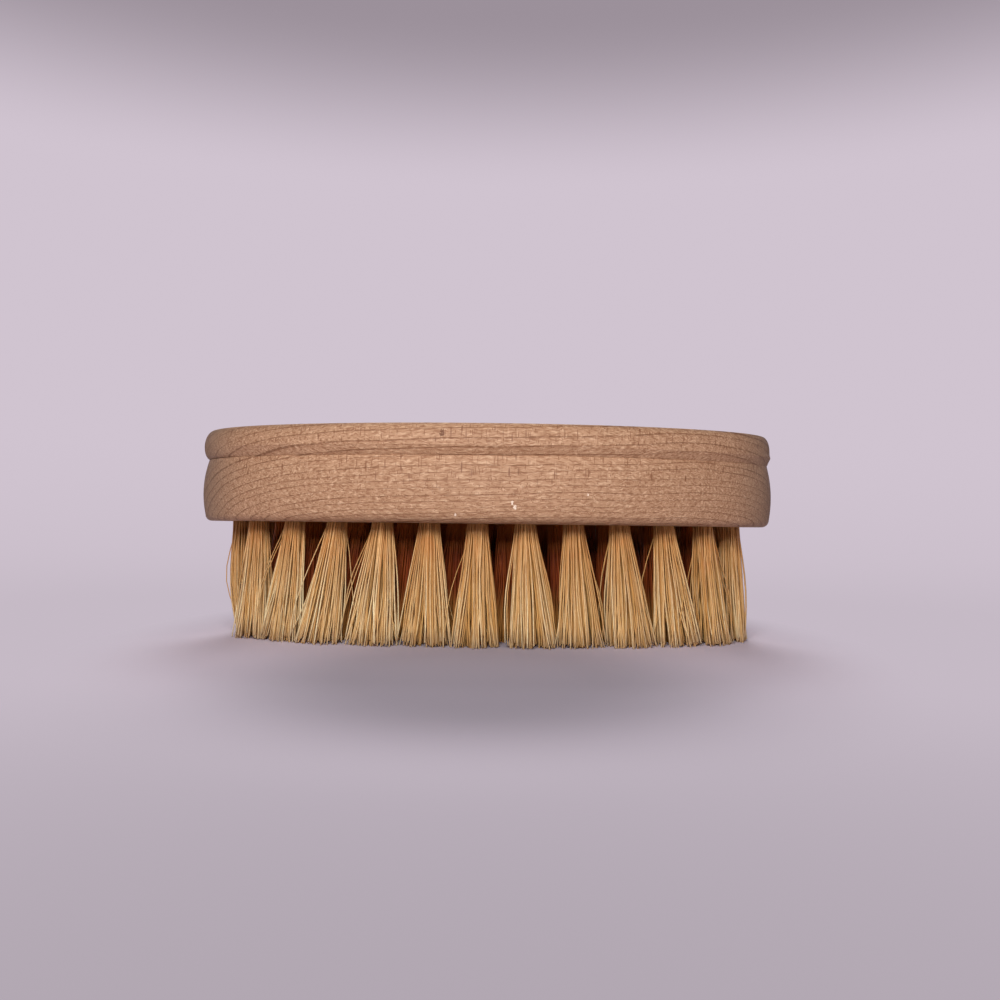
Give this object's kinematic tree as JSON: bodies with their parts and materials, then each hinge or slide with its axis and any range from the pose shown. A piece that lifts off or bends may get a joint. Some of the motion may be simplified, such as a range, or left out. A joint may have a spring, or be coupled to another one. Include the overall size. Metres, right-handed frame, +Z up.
{
  "type": "body brush",
  "caption": "Oval wooden body brush for the palm, with a finger groove round its block and fanned tufts of pale plant bristle set in blind holes.",
  "frame": {"origin": "on the surface that the bristle tips stand on, under the middle of the oval block", "axes": "+X along the block's length, +Y across its width, +Z up from the bristle tips to the block's back"},
  "size_m": [0.14, 0.066, 0.0497],
  "materials": {
    "wood": "fine-sanded beech, unvarnished, with fine growth lines and flecks",
    "bristle": "straw-coloured stiff plant fibre with a slight sheen"
  },
  "bodies": {
    "root": {"block": "wood", "tuft_outer_01": "bristle", "tuft_outer_02": "bristle", "tuft_outer_03": "bristle", "tuft_outer_04": "bristle", "tuft_outer_05": "bristle", "tuft_outer_06": "bristle", "tuft_outer_07": "bristle", "tuft_outer_08": "bristle", "tuft_outer_09": "bristle", "tuft_outer_10": "bristle", "tuft_outer_11": "bristle", "tuft_outer_12": "bristle", "tuft_outer_13": "bristle", "tuft_outer_14": "bristle", "tuft_outer_15": "bristle", "tuft_outer_16": "bristle", "tuft_outer_17": "bristle", "tuft_outer_18": "bristle", "tuft_outer_19": "bristle", "tuft_outer_20": "bristle", "tuft_outer_21": "bristle", "tuft_outer_22": "bristle", "tuft_outer_23": "bristle", "tuft_outer_24": "bristle", "tuft_outer_25": "bristle", "tuft_middle_01": "bristle", "tuft_middle_02": "bristle", "tuft_middle_03": "bristle", "tuft_middle_04": "bristle", "tuft_middle_05": "bristle", "tuft_middle_06": "bristle", "tuft_middle_07": "bristle", "tuft_middle_08": "bristle", "tuft_middle_09": "bristle", "tuft_middle_10": "bristle", "tuft_middle_11": "bristle", "tuft_middle_12": "bristle", "tuft_middle_13": "bristle", "tuft_middle_14": "bristle", "tuft_middle_15": "bristle", "tuft_middle_16": "bristle", "tuft_middle_17": "bristle", "tuft_middle_18": "bristle", "tuft_centre_01": "bristle", "tuft_centre_02": "bristle", "tuft_centre_03": "bristle", "tuft_centre_04": "bristle", "tuft_centre_05": "bristle", "tuft_centre_06": "bristle", "tuft_centre_07": "bristle"}
  },
  "joints": []
}
